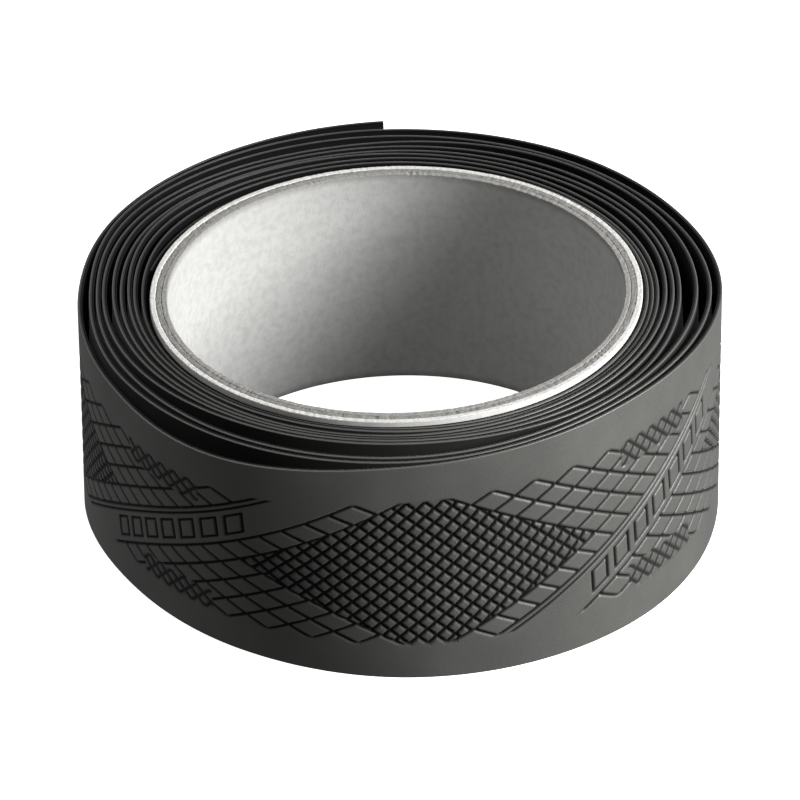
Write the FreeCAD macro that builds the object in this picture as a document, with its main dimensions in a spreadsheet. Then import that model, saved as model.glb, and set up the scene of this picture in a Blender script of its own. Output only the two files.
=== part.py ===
import FreeCAD, Part
import math
import os

import Sketcher

# A roll of racket grip tape: a thin cushioned tape wound loosely on a cardboard core.
#
# Frame: +Z up along the core's axis, the origin on that axis at the bottom faces of the
# core and the tape, which stand on one plane.  Azimuths run anticlockwise from +X, seen
# from above, and the tape winds clockwise from its inner end to its free end.
# All lengths are in millimetres and all angles are in degrees.

DIMENSIONS = [
    ("core_outer_diameter", 50.8, "outside of the cardboard core"),
    ("outer_ply", 0.6, "radial thickness of the core's white outer ply"),
    ("middle_ply", 0.6, "radial thickness of the core's grey middle ply"),
    ("inner_ply", 0.6, "radial thickness of the core's inner ply"),
    ("core_height", 25.5, "length of the core along its axis"),
    ("tape_width", 25.0, "width of the tape, its height on the roll"),
    ("face_thickness", 0.3, "embossed polyurethane face of the tape"),
    ("backing_thickness", 0.2, "non-woven backing of the tape"),
    ("winding_radius", 25.74, "radius of the first quarter turn's bond line"),
    ("winding_centre_x", 0.0, "centre of the first quarter turn"),
    ("winding_centre_y", 0.25, "centre of the first quarter turn"),
    ("growth_back", 0.18, "growth of the radius where a turn crosses +Y"),
    ("growth_right", 0.17, "growth of the radius where a turn crosses +X"),
    ("growth_front", 0.28, "growth of the radius where a turn crosses -Y"),
    ("growth_left", 0.24, "growth of the radius where a turn crosses -X"),
    ("inner_end_azimuth", 168.0, "where the tape's inner end lies"),
    ("free_end_azimuth", 93.9, "where the tape's free end lies, about the tail's own centre"),
    ("whole_turns", 9, "crossings of -X between the two ends"),
    ("starter_length", 26.0, "adhesive at the inner end, along the tape"),
    ("starter_height", 21.0, "adhesive at the inner end, across the tape"),
    ("starter_inset", 1.5, "from the tape's inner end to the adhesive"),
    ("adhesive_thickness", 0.08, "double-sided adhesive"),
    ("release_thickness", 0.06, "release paper over the adhesive"),
    ("release_overhang", 1.0, "release paper past the adhesive, each end"),
    ("tail_lift", 0.8, "extra growth of the radius at the tail's root"),
    ("tail_segments", 5, "rigid lengths that stand for the flexible tail"),
    ("tail_slit", 0.1, "clearance between two lengths of the tail"),
]

FULL_TURN = 360.0
CROSSINGS = (
    ("growth_back", 90.0),
    ("growth_right", 0.0),
    ("growth_front", -90.0),
    ("growth_left", -180.0),
)

doc = FreeCAD.newDocument("grip_tape_roll")


def make_sheet():
    """Keep the driving dimensions, one to a row: name, value and meaning."""
    dims = doc.addObject("Spreadsheet::Sheet", "Dims")
    for row, (name, value, meaning) in enumerate(DIMENSIONS, start=1):
        dims.set("A%d" % row, name)
        dims.set("B%d" % row, str(value))
        dims.setAlias("B%d" % row, name)
        dims.set("C%d" % row, meaning)
    doc.recompute()
    return dims


sheet = make_sheet()


def dim(name):
    """Read one driving dimension back from the sheet as a number."""
    return float(sheet.get(name))


def core_ply(label, outer_inset, thickness):
    """Pad one ply of the core: a ring, its circles bound to the sheet.

    outer_inset and thickness are expressions, measured inwards from the core's outside.
    """
    body = doc.addObject("PartDesign::Body", label)
    body.Label = label
    outer = "Dims.core_outer_diameter / 2 - (%s)" % outer_inset
    inner = "%s - %s" % (outer, thickness)
    sketch = body.newObject("Sketcher::SketchObject", label + "_sketch")
    plane = next(item for item in body.Origin.OriginFeatures if item.Role == "XY_Plane")
    sketch.AttachmentSupport = [(plane, "")]
    sketch.MapMode = "FlatFace"
    outside = dim("core_outer_diameter") / 2
    for name, radius, expression in (("outer", outside, outer), ("inner", outside / 2, inner)):
        circle = Part.Circle(FreeCAD.Vector(0, 0, 0), FreeCAD.Vector(0, 0, 1), radius)
        index = sketch.addGeometry(circle)
        sketch.addConstraint(Sketcher.Constraint("Coincident", index, 3, -1, 1))
        size = sketch.addConstraint(Sketcher.Constraint("Radius", index, radius))
        sketch.renameConstraint(size, name + "_radius")
        sketch.setExpression("Constraints.%s_radius" % name, expression)
    pad = body.newObject("PartDesign::Pad", label + "_pad")
    pad.Profile = sketch
    pad.setExpression("Length", "Dims.core_height")
    body.Placement = FreeCAD.Placement()
    return body


def winding_arcs():
    """Work out the tape's bond line, where its face meets its backing.

    It is a chain of quarter arcs, each (centre, radius, first angle, last angle), and the
    angles fall because the tape winds clockwise.  At each crossing of an axis the radius
    grows and the centre steps back by as much, so neighbouring arcs share their tangent.
    The last arc, from the crossing of -X to the free end, carries the tail, which stands
    off the turn beneath because its radius grows a little more.
    """
    centre = FreeCAD.Vector(dim("winding_centre_x"), dim("winding_centre_y"), 0)
    radius = dim("winding_radius")
    first = dim("inner_end_azimuth")
    arcs = []
    for _turn in range(int(dim("whole_turns"))):
        for growth_name, last in CROSSINGS:
            arcs.append((centre, radius, first, last))
            crossing = FreeCAD.Vector(math.cos(math.radians(last)), math.sin(math.radians(last)), 0)
            growth = dim(growth_name)
            centre = centre - crossing * growth
            radius += growth
            first = last
        first += FULL_TURN
    lift = dim("tail_lift")
    centre = centre + FreeCAD.Vector(lift, 0, 0)
    arcs.append((centre, radius + lift, first, dim("free_end_azimuth")))
    return arcs


def on_arc(centre, radius, angle):
    """Find the point of a circle at an angle."""
    turn = math.radians(angle)
    return centre + FreeCAD.Vector(math.cos(turn), math.sin(turn), 0) * radius


def strip_face(arcs, inner_offset, outer_offset):
    """Make the plan of one layer: the bond line thickened from one offset to the other."""
    up = FreeCAD.Vector(0, 0, 1)
    edges = []
    for offset in (inner_offset, outer_offset):
        for centre, radius, first, last in arcs:
            edges.append(Part.makeCircle(radius + offset, centre, up, last, first))
    ends = ((arcs[0], arcs[0][2]), (arcs[-1], arcs[-1][3]))
    for (centre, radius, _first, _last), angle in ends:
        inside = on_arc(centre, radius + inner_offset, angle)
        outside = on_arc(centre, radius + outer_offset, angle)
        edges.append(Part.makeLine(inside, outside))
    return Part.Face(Part.Wire(Part.__sortEdges__(edges)))


def strip(label, arcs, inner_offset, outer_offset, height):
    """Extrude one layer of the tape upwards, centred on the tape's width.

    height is the name of the dimension that gives the layer's height on the roll.
    """
    plan = doc.addObject("Part::Feature", label + "_plan")
    plan.Shape = strip_face(arcs, inner_offset, outer_offset)
    layer = doc.addObject("Part::Extrusion", label)
    layer.Label = label
    layer.Base = plan
    layer.DirMode = "Custom"
    layer.Dir = FreeCAD.Vector(0, 0, 1)
    layer.Solid = True
    layer.setExpression("LengthFwd", "Dims.%s" % height)
    layer.Placement = FreeCAD.Placement()
    layer.setExpression("Placement.Base.z", "(Dims.tape_width - Dims.%s) / 2" % height)
    return layer


def make_core():
    """Make the three glued plies of the cardboard core, from the outside in."""
    return [
        core_ply("core_outer_ply", "0", "Dims.outer_ply"),
        core_ply("core_middle_ply", "Dims.outer_ply", "Dims.middle_ply"),
        core_ply("core_inner_ply", "Dims.outer_ply + Dims.middle_ply", "Dims.inner_ply"),
    ]


def make_winding(arcs):
    """Make the two layers of the wound tape, from its inner end to the root of the tail."""
    return [
        strip("tape_face", arcs, 0, dim("face_thickness"), "tape_width"),
        strip("tape_backing", arcs, -dim("backing_thickness"), 0, "tape_width"),
    ]


def make_starter(first_arc):
    """Make the adhesive and its release paper on the backing at the tape's inner end."""
    centre, radius, inner_end, _last = first_arc
    backing = -dim("backing_thickness")
    under_adhesive = backing - dim("adhesive_thickness")
    under_release = under_adhesive - dim("release_thickness")
    length_to_angle = math.degrees(1 / radius)
    adhesive_first = inner_end - dim("starter_inset") * length_to_angle
    adhesive_last = adhesive_first - dim("starter_length") * length_to_angle
    overhang = dim("release_overhang") * length_to_angle
    adhesive = [(centre, radius, adhesive_first, adhesive_last)]
    release = [(centre, radius, adhesive_first + overhang, adhesive_last - overhang)]
    return [
        strip("starter_adhesive", adhesive, under_adhesive, backing, "starter_height"),
        strip("starter_release_paper", release, under_release, under_adhesive, "starter_height"),
    ]


def make_tail(last_arc):
    """Divide the last arc into short lengths of both layers, with a slit before each."""
    centre, radius, root, free_end = last_arc
    count = int(dim("tail_segments"))
    pitch = (root - free_end) / count
    slit = math.degrees(dim("tail_slit") / radius)
    pieces = []
    for number in range(1, count + 1):
        first = root - (number - 1) * pitch
        length = [(centre, radius, first - slit, first - pitch)]
        pieces.append(strip("tail_face_%d" % number, length, 0, dim("face_thickness"), "tape_width"))
        pieces.append(
            strip("tail_backing_%d" % number, length, -dim("backing_thickness"), 0, "tape_width")
        )
    return pieces


def check(pieces):
    """Stop if any object of the document failed or any piece is not one valid solid."""
    for item in doc.Objects:
        if "Invalid" in item.State or "Error" in item.State:
            raise RuntimeError("%s failed: %s" % (item.Name, item.State))
    for piece in pieces:
        shape = piece.Shape
        if shape.isNull() or not shape.isValid() or len(shape.Solids) != 1:
            raise RuntimeError("%s is not a valid solid" % piece.Label)


def main():
    """Build the roll and write one STEP file for each piece."""
    arcs = winding_arcs()
    pieces = make_core() + make_winding(arcs[:-1]) + make_starter(arcs[0]) + make_tail(arcs[-1])
    doc.recompute()
    check(pieces)
    os.makedirs("parts", exist_ok=True)
    for piece in pieces:
        piece.Shape.exportStep("parts/%s.step" % piece.Label)
        print("%-24s volume %9.2f mm3" % (piece.Label, piece.Shape.Volume))
    wound = sum(radius * math.radians(first - last) for _centre, radius, first, last in arcs)
    print("tape length %.0f mm" % wound)


main()
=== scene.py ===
import logging
import math
from dataclasses import dataclass, field
from enum import Enum
from typing import Any

import bpy
import numpy as np
from mathutils import Matrix, Vector


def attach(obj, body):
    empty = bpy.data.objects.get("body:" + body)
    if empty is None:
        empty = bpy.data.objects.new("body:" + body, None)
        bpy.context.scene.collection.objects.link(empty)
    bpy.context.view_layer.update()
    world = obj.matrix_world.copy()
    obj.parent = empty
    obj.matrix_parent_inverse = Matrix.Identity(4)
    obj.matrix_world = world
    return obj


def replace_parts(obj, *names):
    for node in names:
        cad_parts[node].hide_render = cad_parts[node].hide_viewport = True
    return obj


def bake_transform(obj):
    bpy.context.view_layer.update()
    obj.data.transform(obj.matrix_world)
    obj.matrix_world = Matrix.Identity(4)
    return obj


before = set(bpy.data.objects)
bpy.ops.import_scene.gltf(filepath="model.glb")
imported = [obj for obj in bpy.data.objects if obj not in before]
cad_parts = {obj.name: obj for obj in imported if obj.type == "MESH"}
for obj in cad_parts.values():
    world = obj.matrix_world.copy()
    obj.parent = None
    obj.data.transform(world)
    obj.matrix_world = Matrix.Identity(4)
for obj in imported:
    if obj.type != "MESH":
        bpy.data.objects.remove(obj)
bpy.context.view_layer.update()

# The looks of a roll of racket grip tape: an embossed, felt-backed tape wound loosely on a
# three-ply cardboard core.  Sizes are in millimetres and angles in degrees until a mesh is
# written, in metres.  Azimuths run anticlockwise from +X, seen from above.

Array = np.ndarray
LOG = logging.getLogger("grip_tape_roll")
MM = 0.001
UV_NAME = "Strip"
EDGE_NAME = "cut_edge"
# The name of the mark that carries painted shade into the grooves and onto the turns' sides between the
# turns.
PAINTED_SHADE_NAME = "painted_shade"
SHARP_ANGLE = math.radians(75.0)


def linear(hex_colour: str) -> tuple[float, float, float, float]:
    """Turn an sRGB hex colour into a linear colour.

    Args:
        hex_colour: the colour, as "#rrggbb".

    Returns:
        Red, green, blue and an alpha of 1.
    """
    channels = [int(hex_colour[i:i + 2], 16) / 255.0 for i in (1, 3, 5)]
    red, green, blue = (c / 12.92 if c <= 0.04045 else ((c + 0.055) / 1.055) ** 2.4 for c in channels)
    return (red, green, blue, 1.0)


def smoothstep(low: float, high: float, value: Array) -> Array:
    """Rise from 0 at low to 1 at high, level at both: 3 t squared less 2 t cubed."""
    t = np.clip((value - low) / (high - low), 0.0, 1.0)
    return t * t * (3.0 - 2.0 * t)


def ripple(angle: Array, orders: tuple[int, int], seed: int) -> Array:
    """Work out a smooth, closed, irregular wave round a circle.

    The wave is the sum of sines of every whole order between two limits, each with its own
    seeded phase and an amplitude that falls as one over the square root of the order.

    Args:
        angle: where to work it out, in radians.
        orders: the lowest and highest number of waves in one turn.
        seed: the seed of the phases.

    Returns:
        Values of about unit spread, in the shape of angle.
    """
    rng = np.random.default_rng(seed)
    order = np.arange(orders[0], orders[1] + 1, dtype=float)
    phase = rng.uniform(0.0, 2.0 * np.pi, order.size)
    weight = 1.0 / np.sqrt(order)
    waves = np.sin(angle[..., None] * order + phase) * weight
    return waves.sum(axis=-1) / math.sqrt(0.5 * float((weight ** 2).sum()))


# ---------------------------------------------------------------------------- meshes


@dataclass(frozen=True)
class Grid:
    """A surface as a grid of points, with what its material reads.

    Attributes:
        points: positions in millimetres, shaped (along, round, 3).
        strip: the two pattern coordinates of each point, in metres.
        edge: 1 where a point lies on a cut edge, else 0.
        painted_shade: how much painted shade each point takes, from 0 to 1, in the grooves and on the
            turns' sides between the turns, or None.
        closed_along: whether the last row joins the first, as on a ring.
    """

    points: Array
    strip: Array
    edge: Array
    painted_shade: Array | None = None
    closed_along: bool = False

    def quads(self) -> Array:
        """Index the four corners of every face; the round direction always closes."""
        along, around = self.points.shape[:2]
        rows = along if self.closed_along else along - 1
        i, j = np.meshgrid(np.arange(rows), np.arange(around), indexing="ij")
        i_next = (i + 1) % along
        j_next = (j + 1) % around
        corners = (i * around + j, i_next * around + j, i_next * around + j_next, i * around + j_next)
        return np.stack(corners, axis=-1).reshape(-1, 4)

    def volume(self) -> float:
        """Add up the signed volume under the faces, which is negative if they face inwards."""
        flat = self.points.reshape(-1, 3)
        centre = flat.mean(axis=0)
        a, b, c, d = (flat[index] - centre for index in self.quads().T)
        first = np.einsum("ij,ij->i", a, np.cross(b, c))
        second = np.einsum("ij,ij->i", a, np.cross(c, d))
        return float((first + second).sum() / 6.0)

    def build(self, name: str) -> bpy.types.Object:
        """Write the grid into a mesh of its own, closed by a cap at each open end.

        Args:
            name: the name of the piece.

        Returns:
            The new object, with its faces outwards and its place in its mesh.
        """
        along, around = self.points.shape[:2]
        faces = self.quads()
        first, last = np.arange(around)[::-1], np.arange(around) + (along - 1) * around
        caps = [] if self.closed_along else [first, last]
        if self.volume() < 0.0:
            faces = faces[:, ::-1]
            caps = [cap[::-1] for cap in caps]
        corners = np.concatenate([faces.ravel(), *caps]).astype(np.int32)
        lengths = np.concatenate([np.full(len(faces), 4), np.full(len(caps), around)])
        starts = np.concatenate([[0], np.cumsum(lengths)[:-1]]).astype(np.int32)
        mesh = bpy.data.meshes.new(name)
        mesh.vertices.add(along * around)
        mesh.vertices.foreach_set("co", (self.points * MM).astype(np.float32).ravel())
        mesh.loops.add(corners.size)
        mesh.loops.foreach_set("vertex_index", corners)
        mesh.polygons.add(lengths.size)
        mesh.polygons.foreach_set("loop_start", starts)
        mesh.polygons.foreach_set("use_smooth", np.ones(lengths.size, dtype=bool))
        mesh.update(calc_edges=True)
        layer = mesh.uv_layers.new(name=UV_NAME)
        layer.data.foreach_set("uv", self.strip.reshape(-1, 2)[corners].astype(np.float32).ravel())
        marks = {EDGE_NAME: self.edge, PAINTED_SHADE_NAME: self.painted_shade}
        for mark, values in marks.items():
            if values is not None:
                attribute = mesh.attributes.new(mark, "FLOAT", "POINT")
                attribute.data.foreach_set("value", values.astype(np.float32).ravel())
        mesh.validate()
        mesh.set_sharp_from_angle(angle=SHARP_ANGLE)
        piece = bpy.data.objects.new(name, mesh)
        bpy.context.scene.collection.objects.link(piece)
        return piece


@dataclass(frozen=True)
class Section:
    """The closed outline of a strip or a ring, cut across.

    Attributes:
        depth: how far each point stands outwards, in millimetres.
        height: how high it stands, in millimetres.
        front: 1 on the outer side, else 0.
        edge: 1 on the top and bottom edges and their corners, else 0.
    """

    depth: Array
    height: Array
    front: Array
    edge: Array


def rounded_section(
    inner: float,
    outer: float,
    low: float,
    high: float,
    corner: float,
    heights: Array,
    back_rows: int,
    rim_points: int,
) -> Section:
    """Outline a thin upright rectangle with quarter-round corners.

    The outline climbs the outer side, crosses the top edge, comes down the inner side and
    crosses the bottom edge.  Each corner is a quarter circle of one radius.

    Args:
        inner: depth of the inner side.
        outer: depth of the outer side.
        low: height of the bottom edge.
        high: height of the top edge.
        corner: radius of the corners.
        heights: heights of the points on the outer side, between the corners.
        back_rows: number of points on the inner side.
        rim_points: number of points across the flat of each edge.

    Returns:
        The outline.
    """
    quarter = np.radians(np.linspace(0.0, 90.0, 4))
    swing, rise = corner * np.cos(quarter), corner * np.sin(quarter)
    flat = np.linspace(outer - corner, inner + corner, rim_points + 2)[1:-1]
    back = np.linspace(high - corner, low + corner, back_rows + 2)[1:-1]
    depth = [
        np.full(heights.size, outer), outer - corner + swing, flat, inner + corner - swing[::-1],
        np.full(back.size, inner), inner + corner - swing, flat[::-1], outer - corner + swing[::-1],
    ]
    height = [
        heights, high - corner + rise, np.full(flat.size, high), high - corner + rise[::-1],
        back, low + corner - rise, np.full(flat.size, low), low + corner - rise[::-1],
    ]
    front = [1, 0, 0, 0, 0, 0, 0, 0]
    edge = [0, 1, 1, 1, 0, 1, 1, 1]
    sizes = [part.size for part in depth]
    return Section(
        depth=np.concatenate(depth),
        height=np.concatenate(height),
        front=np.repeat(front, sizes),
        edge=np.repeat(edge, sizes).astype(float),
    )


# ---------------------------------------------------------------------------- the winding


@dataclass(frozen=True)
class LooseTurns:
    """Where the loose turns lie, in place of the CAD's even spacing.

    Attributes:
        azimuths: the stations round the roll, in the order in which a turn passes them.
        top: for each turn, the radius of the bond line at its top edge at each station.
        bottom: how far the outermost turn's bottom edge stands outwards at each station.
        start: the radius of the top edge at the tape's inner end.
        free_end: the radius of the top edge at the tape's free end.
    """

    azimuths: tuple[float, ...] = (150.0, 105.0, 60.0, 30.0, 0.0, -50.0, -90.0, -120.0, -150.0, -180.0)
    top: tuple[tuple[float, ...], ...] = (
        (25.95, 25.90, 25.90, 25.80, 25.72, 25.68, 25.68, 25.70, 25.70, 26.00),
        (27.05, 26.95, 26.60, 26.35, 26.25, 26.22, 26.22, 26.25, 26.25, 26.85),
        (28.25, 27.90, 27.35, 27.05, 26.80, 26.76, 26.76, 26.80, 26.85, 27.45),
        (29.15, 28.75, 28.35, 28.25, 27.65, 27.35, 27.30, 27.40, 27.60, 28.25),
        (29.70, 29.50, 29.10, 29.05, 28.40, 28.20, 27.85, 27.95, 28.30, 29.05),
        (30.75, 30.30, 30.35, 29.90, 29.10, 29.15, 28.40, 28.50, 29.30, 30.10),
        (31.60, 31.15, 31.85, 31.30, 30.85, 29.95, 30.80, 31.00, 30.60, 30.75),
        (32.60, 32.75, 32.45, 32.15, 32.25, 30.55, 31.60, 31.80, 31.55, 31.45),
        (33.35, 34.20, 33.65, 33.20, 33.35, 31.25, 32.55, 34.90, 33.00, 32.60),
        (33.95, 35.60),
    )
    bottom: tuple[float, ...] = (0.2, 0.2, 0.0, 0.0, -0.25, 0.9, 0.9, -0.3, -0.9, 0.3)
    start: float = 25.9
    free_end: float = 35.9

    def stations(self, inner_end: float, end: float) -> tuple[Array, Array, Array]:
        """List the stations along the whole tape.

        Args:
            inner_end: the azimuth of the tape's inner end.
            end: the angle travelled to its free end.

        Returns:
            The angle travelled to each, the top radius there and the outermost turn's bottom shift.
        """
        passes = np.concatenate([
            inner_end - np.array(self.azimuths[:len(row)]) + 360.0 * turn
            for turn, row in enumerate(self.top)
        ])
        shifts = np.concatenate([self.bottom[:len(row)] for row in self.top])
        travelled = np.concatenate([[0.0], passes, [end]])
        top = np.concatenate([[self.start], *self.top, [self.free_end]])
        return travelled, top, np.concatenate([shifts[:1], shifts, shifts[-1:]])


def smooth_through(stations: Array, values: Array, wanted: Array) -> Array:
    """Run a smooth curve through values at stations.

    It is a cubic Hermite curve, whose slopes are central differences.

    Args:
        stations: where the values are, rising.
        values: the values there.
        wanted: where to work the curve out.

    Returns:
        The curve's values.
    """
    slopes = np.gradient(values, stations)
    index = np.clip(np.searchsorted(stations, wanted, side="right") - 1, 0, stations.size - 2)
    width = stations[index + 1] - stations[index]
    t = (wanted - stations[index]) / width
    rise = t * t * (3.0 - 2.0 * t)
    first = t * (1.0 - t) ** 2 * width * slopes[index]
    last = t * t * (t - 1.0) * width * slopes[index + 1]
    return values[index] * (1.0 - rise) + values[index + 1] * rise + first + last


@dataclass(frozen=True)
class Spiral:
    """The tape's bond line, as the CAD winds it: quarter arcs that grow at each axis.

    Places along it are given as the angle travelled, clockwise, from the inner end.
    """

    centre: tuple[float, float] = (0.0, 0.25)
    radius: float = 25.74
    growths: tuple[float, float, float, float] = (0.18, 0.17, 0.28, 0.24)
    tail_lift: float = 0.8
    inner_end: float = 168.0
    free_end: float = 93.9
    turns: int = 9
    width: float = 25.0
    core_clear: float = 25.6
    build_up: float = 8.0
    loose: LooseTurns = field(default_factory=LooseTurns)

    @property
    def root(self) -> float:
        """The angle travelled to the root of the tail, at the last crossing of -X."""
        return self.inner_end + 180.0 + 360.0 * (self.turns - 1)

    @property
    def end(self) -> float:
        """The angle travelled to the free end."""
        return self.root + 180.0 - self.free_end

    def arcs(self) -> tuple[Array, Array, Array, Array]:
        """List the arcs: the angle travelled to each, and its centre, radius and length so far."""
        crossings = np.radians([90.0, 0.0, -90.0, -180.0])
        starts, centres, radii, lengths = [0.0], [np.array(self.centre)], [self.radius], [0.0]
        while starts[-1] < self.root:
            quarter = (len(starts) - 1) % 4
            outwards = np.array([math.cos(crossings[quarter]), math.sin(crossings[quarter])])
            step = self.inner_end - 90.0 if len(starts) == 1 else 90.0
            lengths.append(lengths[-1] + radii[-1] * math.radians(step))
            starts.append(starts[-1] + step)
            centres.append(centres[-1] - outwards * self.growths[quarter])
            radii.append(radii[-1] + self.growths[quarter])
        centres[-1] = centres[-1] + np.array([self.tail_lift, 0.0])
        radii[-1] += self.tail_lift
        return np.array(starts), np.array(centres), np.array(radii), np.array(lengths)

    def follow(self, travelled: Array) -> tuple[Array, Array, Array]:
        """Find points of the bond line.

        Each point is its arc's centre plus the radius times the outward normal.

        Args:
            travelled: angles travelled from the inner end.

        Returns:
            The points and the outward normals, shaped (n, 2), and the lengths of tape.
        """
        starts, centres, radii, lengths = self.arcs()
        index = np.clip(np.searchsorted(starts, travelled, side="right") - 1, 0, starts.size - 1)
        angle = np.radians(self.inner_end - travelled)
        normals = np.stack([np.cos(angle), np.sin(angle)], axis=-1)
        points = centres[index] + normals * radii[index][:, None]
        return points, normals, lengths[index] + radii[index] * np.radians(travelled - starts[index])

    def stand_off(self, travelled: Array, points: Array, height: Array) -> Array:
        """Work out how far the loose turns stand off the CAD's even spacing.

        The top edge goes to its own radius.  The bottom edge shifts by the outermost turn's
        shift there, in proportion to how far out the turn is.  Between them it is a straight
        line up the tape.

        Args:
            travelled: angles travelled, shaped (n,).
            points: the bond line there, shaped (n, 2).
            height: heights on the roll, shaped (m,).

        Returns:
            Distances outwards, shaped (n, m).
        """
        stations, top_radii, shifts = self.loose.stations(self.inner_end, self.end)
        radius = np.hypot(points[:, 0], points[:, 1])
        top = smooth_through(stations, top_radii, travelled) - radius
        bottom = smooth_through(stations, shifts, travelled) * (radius - self.core_clear) / self.build_up
        share = (height / self.width)[None, :]
        return bottom[:, None] * (1.0 - share) + top[:, None] * share


@dataclass(frozen=True)
class Emboss:
    """The pattern pressed into the tape's face, which repeats along it.

    A lattice of long diamonds fills a zone between two plain borders.  Lens-shaped fields of
    fine knurl take its place at every repeat, and between two fields a slanting band of plain
    bars crosses it.  Positions along the tape count from the middle of a field of knurl.
    """

    middle: float = 12.4
    cell_width: float = 4.605
    cell_height: float = 2.4
    half_rows: int = 7
    lens_cells: int = 4
    repeat_cells: int = 12
    groove_width: float = 0.44
    groove_floor: float = 0.05
    groove_depth: float = 0.22
    knurl_width: float = 1.8125
    knurl_height: float = 1.66
    knurl_depth: float = 0.2
    knurl_rise: tuple[float, float] = (0.06, 0.25)
    knurl_crown: float = 0.06
    bar_pitch: float = 3.0
    bar_width: float = 1.9
    bar_height: float = 2.3
    bars_reach: float = 10.6
    bars_drop: float = 0.12
    stripe_at: float = 0.72
    patch_reach: float = 5.2
    patch_cells: float = 1.1
    patch_share: float = 0.6
    fade: tuple[float, float] = (0.12, -0.22)

    @property
    def repeat(self) -> float:
        """The length of tape after which the pattern repeats."""
        return self.repeat_cells * self.cell_width

    def off_lines(self, along: Array, up: Array, slope: float, pitch: float) -> Array:
        """Measure the distance, square to them, to the nearest of a set of slanting lines.

        The lines are up = slope times along, and its copies a pitch apart vertically.
        """
        level = (up - slope * along) / pitch
        return np.abs(level - np.round(level)) * pitch / math.hypot(1.0, slope)

    def knurl(self, along: Array, up: Array) -> Array:
        """Work out the fine knurl: small diamonds that rise steeply from narrow lines to crowned tops."""
        slope = self.knurl_height / self.knurl_width
        rising = self.off_lines(along, up, slope, self.knurl_height)
        falling = self.off_lines(along, up, -slope, self.knurl_height)
        distance = np.minimum(rising, falling)
        middle = self.knurl_height / (2.0 * math.hypot(1.0, slope))
        crown = self.knurl_crown * (1.0 - np.minimum(distance / middle, 1.0)) ** 2
        return -self.knurl_depth * (1.0 - smoothstep(*self.knurl_rise, distance)) - crown

    def groove(self, distance: Array) -> Array:
        """Work out a groove: a narrow valley with steep sides, along its line."""
        rim = self.groove_width / 2
        return -self.groove_depth * (1.0 - smoothstep(self.groove_floor, rim, np.abs(distance)))

    def bars(self, along: Array, across: Array) -> Array:
        """Outline the band's plain bars: parallelograms with upright sides, one to a pitch."""
        nearest = along - self.bar_pitch * np.round(along / self.bar_pitch)
        outside = np.maximum(np.abs(nearest) - self.bar_width / 2, np.abs(across) - self.bar_height / 2)
        return self.groove(outside) * (np.abs(along) < self.bars_reach)

    def relief(self, along: Array, height: Array) -> Array:
        """Work out the pattern's depth.

        Args:
            along: distances along the tape from the middle of a field of knurl.
            height: heights above the tape's bottom edge.

        Returns:
            Offsets from the plain face, at most 0.
        """
        slope = self.cell_height / self.cell_width
        up = height - self.middle
        limit = self.half_rows * self.cell_height / 2
        from_lens = (along + self.repeat / 2) % self.repeat - self.repeat / 2
        from_band = along % self.repeat - self.repeat / 2
        lens = slope * (self.lens_cells * self.cell_width - np.abs(from_lens)) - np.abs(up)
        across = up - slope * from_band
        in_band = np.abs(across) < self.cell_height
        near_border = np.abs(up) > limit - self.patch_cells * self.cell_height
        in_patch = near_border & (np.abs(from_band) < self.patch_reach)
        rising = self.off_lines(from_lens, up, slope, self.cell_height)
        falling = self.off_lines(from_lens, up, -slope, self.cell_height)
        lattice = self.groove(np.minimum(rising, falling))
        border = self.groove(np.abs(np.abs(across) - self.cell_height) / math.hypot(1.0, slope))
        stripe = self.groove(np.abs(across - self.stripe_at * self.cell_height))
        depth = np.where(in_patch, self.patch_share * self.knurl(along, up), lattice)
        band = stripe + self.bars(from_band, across + self.bars_drop * self.cell_height)
        depth = np.where(in_band, band, depth)
        depth = np.where(lens > 0.0, self.knurl(from_lens, up), depth)
        depth = np.minimum(depth, np.where(lens > 0.0, 0.0, border))
        depth = np.minimum(depth, self.groove(lens))
        return depth * smoothstep(limit + self.fade[0], limit + self.fade[1], np.abs(up))


# ---------------------------------------------------------------------------- finishes


class Grain(Enum):
    """The fineness of a surface pattern, as the real size of one feature in millimetres."""

    FIBRE = 0.18
    PORE = 0.22
    MOTTLE = 0.8
    CLOUD = 9.0

    @property
    def scale(self) -> float:
        """The noise texture's scale for object coordinates in metres."""
        return 1.0 / (self.value * MM)


def add_node(
    tree: bpy.types.NodeTree, kind: str, inputs: dict[Any, Any] | None = None, **settings: Any
) -> bpy.types.Node:
    """Add a node to a material.

    Args:
        tree: the material's node tree.
        kind: the node's type, without its "ShaderNode" prefix.
        inputs: socket name or number to a value, or to the output socket to link from.
        settings: the node's own properties.

    Returns:
        The node.
    """
    node = tree.nodes.new("ShaderNode" + kind)
    for key, value in settings.items():
        setattr(node, key, value)
    for key, value in (inputs or {}).items():
        if isinstance(value, bpy.types.NodeSocket):
            tree.links.new(value, node.inputs[key])
        else:
            node.inputs[key].default_value = value
    return node


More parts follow.
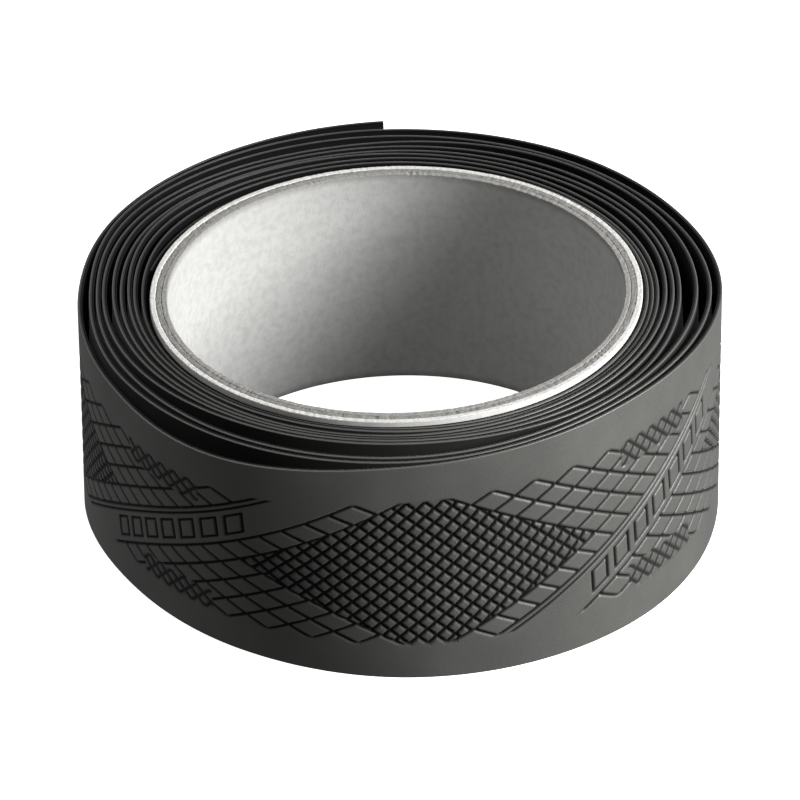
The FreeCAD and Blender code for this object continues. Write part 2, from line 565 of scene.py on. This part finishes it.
@dataclass(frozen=True)
class Finish:
    """What a surface is made of: the base of every finish."""

    name: str
    colour: str
    roughness: float

    def material(self) -> bpy.types.Material:
        """Make the material, or give back the one made before."""
        made = bpy.data.materials.get(self.name)
        if made is not None:
            return made
        made = bpy.data.materials.new(self.name)
        made.use_nodes = True
        made.node_tree.nodes.clear()
        shader = add_node(made.node_tree, "BsdfPrincipled", {
            "Base Color": linear(self.colour), "Roughness": self.roughness,
        })
        add_node(made.node_tree, "OutputMaterial", {"Surface": shader.outputs["BSDF"]})
        self.dress(made.node_tree, shader)
        return made

    def dress(self, tree: bpy.types.NodeTree, shader: bpy.types.Node) -> None:
        """Add what this finish has beyond its colour and roughness."""

    def noise(self, tree: bpy.types.NodeTree, grain: Grain, detail: float = 3.0) -> bpy.types.NodeSocket:
        """Add a noise of one grain on object coordinates, and give its value."""
        place = add_node(tree, "TexCoord").outputs["Object"]
        noise = add_node(tree, "TexNoise", {"Vector": place, "Scale": grain.scale, "Detail": detail})
        return noise.outputs["Fac"]

    def mix(self, tree: bpy.types.NodeTree, factor: Any, first: Any, second: Any) -> bpy.types.NodeSocket:
        """Mix two colours by a factor, and give the result."""
        mixed = add_node(tree, "Mix", {"Factor": factor, 6: first, 7: second}, data_type="RGBA")
        return mixed.outputs[2]

    def span(
        self,
        tree: bpy.types.NodeTree,
        value: bpy.types.NodeSocket,
        source: tuple[float, float],
        target: tuple[float, float] = (0.0, 1.0),
    ) -> bpy.types.NodeSocket:
        """Map one range of a value onto another, held at both ends."""
        return add_node(tree, "MapRange", {
            "Value": value,
            "From Min": source[0],
            "From Max": source[1],
            "To Min": target[0],
            "To Max": target[1],
        }).outputs["Result"]

    def mark(self, tree: bpy.types.NodeTree, name: str) -> bpy.types.NodeSocket:
        """Read one of the marks that a grid writes into its mesh."""
        return add_node(tree, "Attribute", attribute_name=name).outputs["Fac"]

    def bump(
        self,
        tree: bpy.types.NodeTree,
        shader: bpy.types.Node,
        height: bpy.types.NodeSocket,
        distance: float,
        strength: float,
    ) -> None:
        """Give the shader a bump of a height in millimetres."""
        bumped = add_node(tree, "Bump", {"Height": height, "Distance": distance * MM, "Strength": strength})
        tree.links.new(bumped.outputs["Normal"], shader.inputs["Normal"])


@dataclass(frozen=True)
class EmbossedPolyurethane(Finish):
    """Polyurethane skin, hot-embossed: satin and dark grey, worn in clouds, with fine pores.

    It is near black on the foam of its cut edge; painted shade makes it near black in its grooves and on
    its sides between the turns.
    """

    cut_colour: str = "#1a1a19"
    worn_colour: str = "#545551"
    # The near-black colour of the painted shade in the grooves and between the turns.
    painted_shade_colour: str = "#0b0b0a"

    def dress(self, tree: bpy.types.NodeTree, shader: bpy.types.Node) -> None:
        """Add cloudy wear, painted shade with less specular in the grooves and between the turns, the cut
        edge's colour, uneven gloss and pores.
        """
        cloud = self.span(tree, self.noise(tree, Grain.CLOUD), (0.35, 0.7))
        pore = self.noise(tree, Grain.PORE)
        skin = self.mix(tree, cloud, linear(self.colour), linear(self.worn_colour))
        edge = self.mark(tree, EDGE_NAME)
        painted_shade = self.mark(tree, PAINTED_SHADE_NAME)
        # Painted shade: the grooves and the sides between the turns darken towards near black.
        skin = self.mix(tree, painted_shade, skin, linear(self.painted_shade_colour))
        tree.links.new(self.mix(tree, edge, skin, linear(self.cut_colour)), shader.inputs["Base Color"])
        gloss = self.span(tree, pore, (0.3, 0.7), (self.roughness - 0.06, self.roughness + 0.08))
        tree.links.new(gloss, shader.inputs["Roughness"])
        # The painted shade also takes the specular down, so the grooves lose their highlights.
        shine = self.span(tree, painted_shade, (0.0, 0.7), (0.75, 0.1))
        tree.links.new(shine, shader.inputs["Specular IOR Level"])
        shader.inputs["Sheen Weight"].default_value = 0.3
        shader.inputs["Sheen Roughness"].default_value = 0.35
        self.bump(tree, shader, pore, 0.025, 0.5)


@dataclass(frozen=True)
class NonWovenFelt(Finish):
    """Needled polyester felt: matte, near black, with short fibres lying every way."""

    fibre_colour: str = "#2e2e2d"
    cut_colour: str = "#080808"

    def dress(self, tree: bpy.types.NodeTree, shader: bpy.types.Node) -> None:
        """Add pale fibres, their bump and a soft sheen."""
        fibre = self.noise(tree, Grain.FIBRE, detail=5.0)
        lit = self.span(tree, fibre, (0.45, 0.7))
        side = self.mix(tree, lit, linear(self.colour), linear(self.fibre_colour))
        edge = self.mark(tree, EDGE_NAME)
        tree.links.new(self.mix(tree, edge, side, linear(self.cut_colour)), shader.inputs["Base Color"])
        shader.inputs["Specular IOR Level"].default_value = 0.08
        shader.inputs["Sheen Weight"].default_value = 0.02
        shader.inputs["Sheen Roughness"].default_value = 0.6
        self.bump(tree, shader, fibre, 0.06, 0.8)


@dataclass(frozen=True)
class CoreBoard(Finish):
    """Spiral-wound tube board: matte recycled paper, mottled, with loose fibres on its cut rim."""

    mottle_colour: str = "#b9b8b4"
    rim_colour: str = "#9a9996"
    fray_colour: str = "#b4b3b0"

    def dress(self, tree: bpy.types.NodeTree, shader: bpy.types.Node) -> None:
        """Add the paper's mottle, the rim's darker cut fibres and both bumps."""
        mottle = self.noise(tree, Grain.MOTTLE, detail=6.0)
        fibre = self.noise(tree, Grain.FIBRE, detail=6.0)
        cloudy = self.span(tree, mottle, (0.4, 0.72))
        frayed = self.span(tree, fibre, (0.35, 0.65))
        face = self.mix(tree, cloudy, linear(self.colour), linear(self.mottle_colour))
        cut = self.mix(tree, frayed, linear(self.rim_colour), linear(self.fray_colour))
        edge = self.mark(tree, EDGE_NAME)
        tree.links.new(self.mix(tree, edge, face, cut), shader.inputs["Base Color"])
        self.bump(tree, shader, fibre, 0.05, 0.6)


@dataclass(frozen=True)
class ReleasePaper(Finish):
    """Silicone-coated release paper: smooth, pale, with a low gloss and faint cockling."""

    def dress(self, tree: bpy.types.NodeTree, shader: bpy.types.Node) -> None:
        """Add a faint cockle."""
        self.bump(tree, shader, self.noise(tree, Grain.MOTTLE), 0.03, 0.4)


@dataclass(frozen=True)
class TransferAdhesive(Finish):
    """Double-sided acrylic adhesive film: soft, milky and a little glossy, with fine bubbles."""

    bubble_colour: str = "#e6e2d6"

    def dress(self, tree: bpy.types.NodeTree, shader: bpy.types.Node) -> None:
        """Add fine bubbles."""
        bubble = self.noise(tree, Grain.PORE)
        pale = self.span(tree, bubble, (0.4, 0.7))
        tone = self.mix(tree, pale, linear(self.colour), linear(self.bubble_colour))
        tree.links.new(tone, shader.inputs["Base Color"])
        self.bump(tree, shader, bubble, 0.02, 0.3)


@dataclass(frozen=True)
class StudioFloor(Finish):
    """Painted studio floor: plain, pale and matte, with a trace of roller texture."""

    glow: float = 0.0

    def dress(self, tree: bpy.types.NodeTree, shader: bpy.types.Node) -> None:
        """Add the roller texture and a little light of its own."""
        self.bump(tree, shader, self.noise(tree, Grain.CLOUD), 0.02, 0.1)
        shader.inputs["Emission Color"].default_value = linear(self.colour)
        shader.inputs["Emission Strength"].default_value = self.glow


TAPE_FACE = EmbossedPolyurethane("embossed_polyurethane", "#4a4b48", 0.46)
TAPE_FELT = NonWovenFelt("non_woven_felt", "#141414", 0.95)
OUTER_BOARD = CoreBoard("white_tube_paper", "#d9d8d5", 0.85, "#cfcecb", "#b2b1ae", "#d6d5d2")
MIDDLE_BOARD = CoreBoard("grey_tube_board", "#9a9996", 0.9, "#8a8884", "#706f6b", "#878682")
INNER_BOARD = CoreBoard("mottled_tube_paper", "#b0b0ae", 0.85, "#a3a3a1", "#7d7c79", "#92918e")
RELEASE = ReleasePaper("silicone_release_paper", "#dcd8cd", 0.4)
ADHESIVE = TransferAdhesive("acrylic_transfer_adhesive", "#cbc6b8", 0.35)
FLOOR = StudioFloor("matte_white_floor", "#ffffff", 0.9, 0.95)


def finished(piece: bpy.types.Object, finish: Finish) -> bpy.types.Object:
    """Give a piece its finish, and log its faces."""
    piece.data.materials.clear()
    piece.data.materials.append(finish.material())
    LOG.info("%s: %d faces, %s", piece.name, len(piece.data.polygons), finish.name)
    return piece


# ---------------------------------------------------------------------------- the tape


@dataclass(frozen=True)
class Layer:
    """One layer of the tape: its place in the tape's thickness, its finish and its node."""

    node: str
    inner: float
    outer: float
    finish: Finish
    slot: str
    pressed: bool


@dataclass
class Tape:
    """The wound tape: its two layers, from the inner end to the free end, with a tail built in lengths."""

    spiral: Spiral = field(default_factory=Spiral)
    emboss: Emboss = field(default_factory=Emboss)
    face: Layer = Layer("tape_face", 0.0, 0.3, TAPE_FACE, "tape_polyurethane", pressed=True)
    felt: Layer = Layer("tape_backing", -0.2, 0.0, TAPE_FELT, "tape_felt", pressed=False)
    corner: float = 0.07
    skin: float = 0.13
    # How dark the painted shade on the turns' sides between the turns is, from 0 to 1.
    shade_under_turns: float = 0.8
    plain_rows: int = 26
    bottom_rows: int = 7
    top_rows: int = 8
    back_rows: int = 12
    rim_points: int = 4
    fine_step: float = 0.12
    plain_step: float = 0.95
    pressed_zone: tuple[float, float] = (3.7, 21.1)
    pressed_from: float = 2860.0
    pressed_pieces: int = 4
    lens_azimuth: float = 273.2
    tail_lengths: int = 5
    blend_reach: float = 5.1
    waver: float = 0.0025
    waver_orders: tuple[int, int] = (5, 40)
    waver_seed: int = 7

    @property
    def pitch(self) -> float:
        """The angle that one hinged length of the tail takes."""
        return (self.spiral.end - self.spiral.root) / self.tail_lengths

    def heights(self, pressed: bool) -> Array:
        """Space the rows on a layer's outer side: close together where the pattern is."""
        low, high = 2.0 * self.corner, self.spiral.width - 2.0 * self.corner
        if not pressed:
            return np.linspace(low, high, self.plain_rows)
        bottom, top = self.pressed_zone
        rows = round((top - bottom) / self.fine_step)
        return np.concatenate([
            np.linspace(low, bottom, self.bottom_rows)[:-1],
            np.linspace(bottom, top, rows),
            np.linspace(top, high, self.top_rows)[1:],
        ])

    def creep(self, travelled: Array) -> Array:
        """Work out how much taller or shorter the strip stands, as a share of its width."""
        angle = np.radians(travelled / self.spiral.turns)
        return self.waver * ripple(angle, self.waver_orders, self.waver_seed)

    def strip(self, name: str, layer: Layer, start: float, stop: float, fine: bool) -> bpy.types.Object:
        """Build a length of one layer.

        A point is the bond line's point, moved along the outward normal by its depth in the
        layer, by how far the loose turn stands off, and by the pattern's relief.

        Args:
            name: the name of the piece.
            layer: which layer.
            start: the angle travelled where the length starts.
            stop: the angle travelled where it ends.
            fine: whether it carries the pattern.

        Returns:
            The piece, dressed but not yet riding on a body.
        """
        pressed = layer.pressed and fine
        length = np.diff(self.spiral.follow(np.array([start, stop]))[2])[0]
        step = self.fine_step if pressed else self.plain_step
        travelled = np.linspace(start, stop, max(3, round(length / step) + 1))
        points, normals, along = self.spiral.follow(travelled)
        section = rounded_section(
            layer.inner,
            layer.outer,
            0.0,
            self.spiral.width,
            self.corner,
            self.heights(pressed),
            self.back_rows,
            self.rim_points,
        )
        depth = section.depth[None, :] + self.spiral.stand_off(travelled, points, section.height)
        # Painted shade on the face's sides between the turns; the pressed lengths take painted shade in
        # their grooves instead.
        sides = np.broadcast_to(self.shade_under_turns * (1.0 - section.edge), depth.shape)
        painted_shade = sides if layer.pressed else None
        if pressed:
            from_lens = (self.lens_length() - along)[:, None]
            relief = self.emboss.relief(from_lens, section.height[None, :]) * section.front
            depth = depth + relief
            # Painted shade in the pattern's grooves, darkest at their floors.
            painted_shade = np.sqrt(np.clip(-relief / self.emboss.groove_depth, 0.0, 1.0))
        flat = points[:, None, :] + normals[:, None, :] * depth[..., None]
        tall = section.height[None, :] * (1.0 + self.creep(travelled))[:, None]
        strip = np.stack(np.broadcast_arrays(along[:, None], section.height[None, :]), axis=-1) * MM
        cut = section.edge * (section.depth < layer.outer - self.skin) if layer.pressed else section.edge
        edge = np.broadcast_to(cut, tall.shape)
        piece = Grid(np.concatenate([flat, tall[..., None]], axis=-1), strip, edge, painted_shade).build(name)
        return finished(piece, layer.finish)

    def lens_length(self) -> float:
        """Find the length of tape up to the middle of the field of knurl that faces the front."""
        turns_back = math.floor((self.spiral.root - (self.spiral.inner_end - self.lens_azimuth)) / 360.0)
        travelled = self.spiral.inner_end - self.lens_azimuth + 360.0 * turns_back
        return float(self.spiral.follow(np.array([travelled]))[2][0])

    def build_winding(self) -> None:
        """Build everything that rides on the winding: the plain inner turns and the pressed outer one."""
        last = self.spiral.root - self.pitch / 2
        for layer in (self.face, self.felt):
            inner = self.strip(layer.node + "_inner_turns", layer, 0.0, self.pressed_from, False)
            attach(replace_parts(inner, layer.node), "winding")
            cuts = np.linspace(self.pressed_from, last, self.pressed_pieces + 1)
            for number, (start, stop) in enumerate(zip(cuts[:-1], cuts[1:]), start=1):
                piece = self.strip("%s_outer_turn_%d" % (layer.node, number), layer, start, stop, True)
                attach(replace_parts(piece, layer.node), "winding")

    def build_tail(self) -> None:
        """Build the tail: a piece across each hinge; the last reaches the free end."""
        names = {"tape_face": "tail_face_%d", "tape_backing": "tail_backing_%d"}
        for layer in (self.face, self.felt):
            for number in range(1, self.tail_lengths + 1):
                hinge = self.spiral.root + (number - 1) * self.pitch
                node = names[layer.node] % number
                stop = hinge + self.pitch / 2 if number < self.tail_lengths else self.spiral.end
                piece = self.strip(node + "_bend", layer, hinge - self.pitch / 2, stop, True)
                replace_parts(piece, node)
                points, normals, _along = self.spiral.follow(np.array([hinge]))
                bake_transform(piece)


@dataclass
class Starter:
    """The adhesive on the backing at the tape's inner end, and the release paper over it."""

    spiral: Spiral = field(default_factory=Spiral)
    backing: float = -0.2
    adhesive: float = 0.08
    release: float = 0.06
    inset: float = 1.5
    length: float = 26.0
    height: float = 21.0
    overhang: float = 1.0
    corner: float = 0.015
    step: float = 0.3
    rows: int = 24
    margin: float = 0.1

    def patch(self, inner: float, outer: float, first: float, last: float) -> Grid:
        """Work out a thin patch that follows the bond line between two lengths of tape."""
        per_mm = math.degrees(1.0 / self.spiral.radius)
        travelled = np.linspace(first * per_mm, last * per_mm, round((last - first) / self.step) + 1)
        points, normals, along = self.spiral.follow(travelled)
        low = (self.spiral.width - self.height) / 2
        high = low + self.height
        heights = np.linspace(low + self.margin, high - self.margin, self.rows)
        section = rounded_section(inner, outer, low, high, self.corner, heights, self.rows, 1)
        depth = section.depth[None, :] + self.spiral.stand_off(travelled, points, section.height)
        flat = points[:, None, :] + normals[:, None, :] * depth[..., None]
        tall = np.broadcast_to(section.height, depth.shape)
        strip = np.stack(np.broadcast_arrays(along[:, None], section.height[None, :]), axis=-1) * MM
        edge = np.broadcast_to(section.edge, depth.shape)
        return Grid(np.concatenate([flat, tall[..., None]], axis=-1), strip, edge)

    def build(self) -> None:
        """Build the adhesive and the paper, which reaches a little past it at both ends."""
        under = self.backing - self.adhesive
        first, last = self.inset, self.inset + self.length
        layers = (
            ("starter_adhesive", self.backing, self.adhesive, 0.0, ADHESIVE, "adhesive"),
            ("starter_release_paper", under, self.release, self.overhang, RELEASE, "release_paper"),
        )
        for node, outer, thickness, past, finish, slot in layers:
            patch = self.patch(outer - thickness, outer, first - past, last + past)
            piece = finished(patch.build(node + "_film"), finish)
            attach(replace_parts(piece, node), "winding")


# ---------------------------------------------------------------------------- the core


@dataclass(frozen=True)
class Ply:
    """One ply of the core: the faces between which it is wound, and how ragged its cut rim is."""

    node: str
    inner: float
    outer: float
    finish: Finish
    slot: str
    fuzz: float
    seed: int


@dataclass
class Core:
    """The cardboard tube that the tape is wound on."""

    height: float = 25.5
    corner: float = 0.09
    columns: int = 900
    wall_rows: int = 30
    rim_points: int = 5
    long_waves: tuple[int, int] = (3, 30)
    fine_waves: tuple[int, int] = (120, 330)
    fine_seed: int = 20
    lane_waves: float = 210.0
    lane_slant: float = 9.0
    plies: tuple[Ply, ...] = (
        Ply("core_outer_ply", 24.8, 25.4, OUTER_BOARD, "core_white_paper", 0.02, 11),
        Ply("core_middle_ply", 24.2, 24.8, MIDDLE_BOARD, "core_grey_board", 0.05, 12),
        Ply("core_inner_ply", 23.6, 24.2, INNER_BOARD, "core_liner_board", 0.035, 13),
    )

    def ring(self, ply: Ply) -> Grid:
        """Work out a ply: its rounded section carried round the axis.

        The rim dips below the ply's height by two seeded ripples, a long one and one as fine
        as fibres, and by slanting lanes, as torn fibres leave it.

        Args:
            ply: the ply.

        Returns:
            The closed surface.
        """
        angle = np.linspace(0.0, 2.0 * np.pi, self.columns, endpoint=False)
        heights = np.linspace(2 * self.corner, self.height - 2 * self.corner, self.wall_rows)
        section = rounded_section(
            ply.inner, ply.outer, 0.0, self.height, self.corner, heights, self.wall_rows, self.rim_points
        )
        top = section.edge * (section.height > self.height / 2)
        coarse = 0.5 * ripple(angle, self.long_waves, ply.seed)
        rough = (coarse + ripple(angle, self.fine_waves, ply.seed + self.fine_seed))[:, None]
        across = (section.depth - ply.inner) / (ply.outer - ply.inner)
        lanes = np.cos(angle[:, None] * self.lane_waves + self.lane_slant * across[None, :])
        height = section.height[None, :] - ply.fuzz * np.abs(rough + 0.4 * lanes) * top[None, :]
        radius = np.broadcast_to(section.depth, height.shape)
        cosine, sine = np.cos(angle)[:, None], np.sin(angle)[:, None]
        points = np.stack([radius * cosine, radius * sine, height], axis=-1)
        around = angle[:, None] * ply.outer
        strip = np.stack(np.broadcast_arrays(around, section.height[None, :]), axis=-1) * MM
        return Grid(points, strip, np.broadcast_to(section.edge, height.shape), closed_along=True)

    def build(self) -> None:
        """Build the plies, which ride on the core's body."""
        for ply in self.plies:
            piece = finished(self.ring(ply).build(ply.node + "_board"), ply.finish)
            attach(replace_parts(piece, ply.node), "core")


# ---------------------------------------------------------------------------- the studio


@dataclass(frozen=True)
class Softbox:
    """A square area light that is aimed at the middle of the roll."""

    name: str
    azimuth: float
    elevation: float
    distance: float
    size: float
    power: float

    def build(self, target: Vector) -> None:
        """Add the light."""
        turn, lift = math.radians(self.azimuth), math.radians(self.elevation)
        away = Vector((math.cos(turn) * math.cos(lift), math.sin(turn) * math.cos(lift), math.sin(lift)))
        light = bpy.data.lights.new(self.name, "AREA")
        light.shape = "SQUARE"
        light.size = self.size
        light.energy = self.power
        lamp = bpy.data.objects.new(self.name, light)
        lamp.location = target + away * self.distance
        lamp.rotation_euler = (-away).to_track_quat("-Z", "Y").to_euler()
        bpy.context.scene.collection.objects.link(lamp)


@dataclass
class Studio:
    """A plain pale floor, soft light and a camera that looks down on the roll from the front."""

    camera_distance: float = 0.5517
    camera_elevation: float = 33.54
    camera_lens: float = 234.91
    camera_roll: float = -1.36
    aim: tuple[float, float, float] = (0.00013, 0.0, 0.0119)
    sky: float = 0.12
    floor_half: float = 3.0
    lights_aim: tuple[float, float, float] = (0.0, 0.0, 0.0125)
    softboxes: tuple[Softbox, ...] = (
        Softbox("key_softbox", -17.0, 27.0, 0.6, 0.32, 9.0),
        Softbox("fill_softbox", 172.0, 45.0, 0.6, 0.4, 0.8),
        Softbox("top_softbox", 80.0, 70.0, 0.7, 0.5, 0.4),
    )

    def build_camera(self) -> None:
        """Stand the camera on its elevation, aim it and roll it level with the roll."""
        lift = math.radians(self.camera_elevation)
        place = Vector((0.0, -math.cos(lift), math.sin(lift))) * self.camera_distance
        data = bpy.data.cameras.new("camera")
        data.lens = self.camera_lens
        data.clip_start = 0.01
        camera = bpy.data.objects.new("camera", data)
        turn = (Vector(self.aim) - place).to_track_quat("-Z", "Y").to_matrix().to_4x4()
        roll = Matrix.Rotation(math.radians(self.camera_roll), 4, "Z")
        camera.matrix_world = Matrix.Translation(place) @ turn @ roll
        bpy.context.scene.collection.objects.link(camera)
        bpy.context.scene.camera = camera

    def build_floor(self) -> None:
        """Lay the floor under the roll."""
        mesh = bpy.data.meshes.new("floor")
        half = self.floor_half
        corners = [(-half, -half, 0.0), (half, -half, 0.0), (half, half, 0.0), (-half, half, 0.0)]
        mesh.from_pydata(corners, [], [(0, 1, 2, 3)])
        mesh.materials.append(FLOOR.material())
        floor = bpy.data.objects.new("floor", mesh)
        bpy.context.scene.collection.objects.link(floor)
        floor.visible_diffuse = False
        floor.visible_glossy = False

    def build(self) -> None:
        """Build the camera, the floor, the sky and the lights."""
        scene = bpy.context.scene
        scene.view_settings.view_transform = "Standard"
        self.build_camera()
        self.build_floor()
        world = bpy.data.worlds.new("pale_sky")
        world.use_nodes = True
        world.node_tree.nodes["Background"].inputs["Color"].default_value = (1.0, 1.0, 1.0, 1.0)
        world.node_tree.nodes["Background"].inputs["Strength"].default_value = self.sky
        scene.world = world
        for softbox in self.softboxes:
            softbox.build(Vector(self.lights_aim))


def main() -> None:
    """Build the studio and every piece of the roll."""
    logging.basicConfig(level=logging.INFO, format="%(name)s: %(message)s")
    Studio().build()
    Core().build()
    tape = Tape()
    tape.build_winding()
    tape.build_tail()
    Starter().build()


if __name__ == "__main__":
    main()
